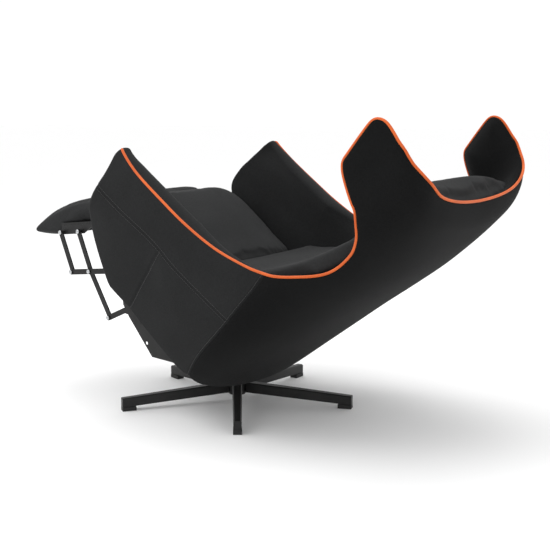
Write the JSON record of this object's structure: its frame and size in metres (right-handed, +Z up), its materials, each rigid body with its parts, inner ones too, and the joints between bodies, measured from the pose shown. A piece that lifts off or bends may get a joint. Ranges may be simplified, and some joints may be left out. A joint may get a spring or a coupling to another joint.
{
  "type": "swivel recliner chair with footrest",
  "caption": "Wing-backed upholstered lounge chair on a low star base; the shell swivels and tilts back, and a linked footrest folds out in front.",
  "frame": {"origin": "middle of the chair's floor plan, on the floor, with the chair tilted back and its footrest out; the swivel axis is 67 mm in front of it", "axes": "+Z up, -Y the way the sitter faces, +X to the sitter's left"},
  "size_m": [0.8042, 1.3899, 0.8497],
  "materials": {
    "fabric": "fine charcoal weave",
    "cushion_fabric": "fine charcoal weave on soft cushions",
    "piping": "smooth orange covered cord",
    "black_steel": "satin black powder coat",
    "zinc_steel": "bright zinc plate",
    "black_nylon": "moulded nylon",
    "plywood": "sealed plywood, hidden"
  },
  "bodies": {
    "base": {"base_hub": "black_steel", "swivel_post": "zinc_steel", "thrust_bearing": "zinc_steel", "base_leg_1": "black_steel", "base_leg_2": "black_steel", "base_leg_3": "black_steel", "base_leg_4": "black_steel", "base_leg_5": "black_steel", "glide_foot_1": "black_nylon", "glide_foot_2": "black_nylon", "glide_foot_3": "black_nylon", "glide_foot_4": "black_nylon", "glide_foot_5": "black_nylon"},
    "swivel_head": {"swivel_sleeve": "black_steel", "tilt_bracket": "black_steel", "tilt_axle": "zinc_steel"},
    "shell": {"shell_back": "fabric", "shell_side_left": "fabric", "shell_side_right": "fabric", "piping": "piping", "seat_cushion": "cushion_fabric", "back_cushion": "cushion_fabric", "seat_board": "plywood", "cross_rail_front": "black_steel", "cross_rail_middle": "black_steel", "cross_rail_rear": "black_steel", "seat_rail_left": "black_steel", "seat_rail_right": "black_steel", "pivot_plate_left": "black_steel", "pivot_plate_right": "black_steel", "pivot_bush_left": "black_nylon", "pivot_bush_right": "black_nylon", "mechanism_plate_left": "black_steel", "mechanism_plate_right": "black_steel"},
    "fold_arms": {"fold_shaft": "black_steel", "drive_crank": "black_steel", "fold_link_left": "black_steel", "fold_link_right": "black_steel"},
    "cross_links": {"cross_link_left": "black_steel", "cross_link_right": "black_steel"},
    "front_links": {"front_link_left": "black_steel", "front_link_right": "black_steel"},
    "rear_links": {"rear_link_left": "black_steel", "rear_link_right": "black_steel"},
    "footrest": {"footrest_pad": "cushion_fabric", "footrest_board": "plywood", "footrest_bracket_left": "black_steel", "footrest_bracket_right": "black_steel"},
    "drive_rod": {"drive_rod": "black_steel"}
  },
  "joints": [
    {"name": "swivel", "type": "hinge", "parent": "base", "child": "swivel_head", "pos_m": [0, -0.067, 0], "axis": [0, 0, 1], "continuous": true},
    {"name": "recline", "type": "hinge", "parent": "swivel_head", "child": "shell", "pos_m": [0, -0.167, 0.25], "axis": [1, 0, 0], "range_deg": [0, 33]},
    {"name": "fold", "type": "hinge", "parent": "shell", "child": "fold_arms", "pos_m": [0, -0.27925, 0.40398], "axis": [1, 0, 0], "range_deg": [0, 90.01]},
    {"name": "cross_pivot", "type": "hinge", "parent": "fold_arms", "child": "cross_links", "pos_m": [0, -0.42857, 0.38886], "axis": [1, 0, 0], "range_deg": [-90.01, 0]},
    {"name": "front_pivot", "type": "hinge", "parent": "fold_arms", "child": "front_links", "pos_m": [0, -0.50004, 0.38162], "axis": [1, 0, 0], "range_deg": [-90.01, 0]},
    {"name": "footrest_pivot", "type": "hinge", "parent": "cross_links", "child": "footrest", "pos_m": [0, -0.47322, 0.50371], "axis": [1, 0, 0], "range_deg": [0, 90.01]},
    {"name": "rear_pivot", "type": "hinge", "parent": "shell", "child": "rear_links", "pos_m": [0, -0.20805, 0.27308], "axis": [1, 0, 0], "range_deg": [0, 90.01]},
    {"name": "rod_pivot", "type": "hinge", "parent": "swivel_head", "child": "drive_rod", "pos_m": [0, -0.23, 0.299], "axis": [1, 0, 0], "range_deg": [0, 74.19]}
  ],
  "couplings": [
    {"joint": "fold", "follows": "recline", "ratio": 2.7273},
    {"joint": "cross_pivot", "follows": "recline", "ratio": -2.7273},
    {"joint": "front_pivot", "follows": "recline", "ratio": -2.7273},
    {"joint": "footrest_pivot", "follows": "recline", "ratio": 2.7273},
    {"joint": "rear_pivot", "follows": "recline", "ratio": 2.7273},
    {"joint": "rod_pivot", "follows": "recline", "ratio": 2.248}
  ]
}
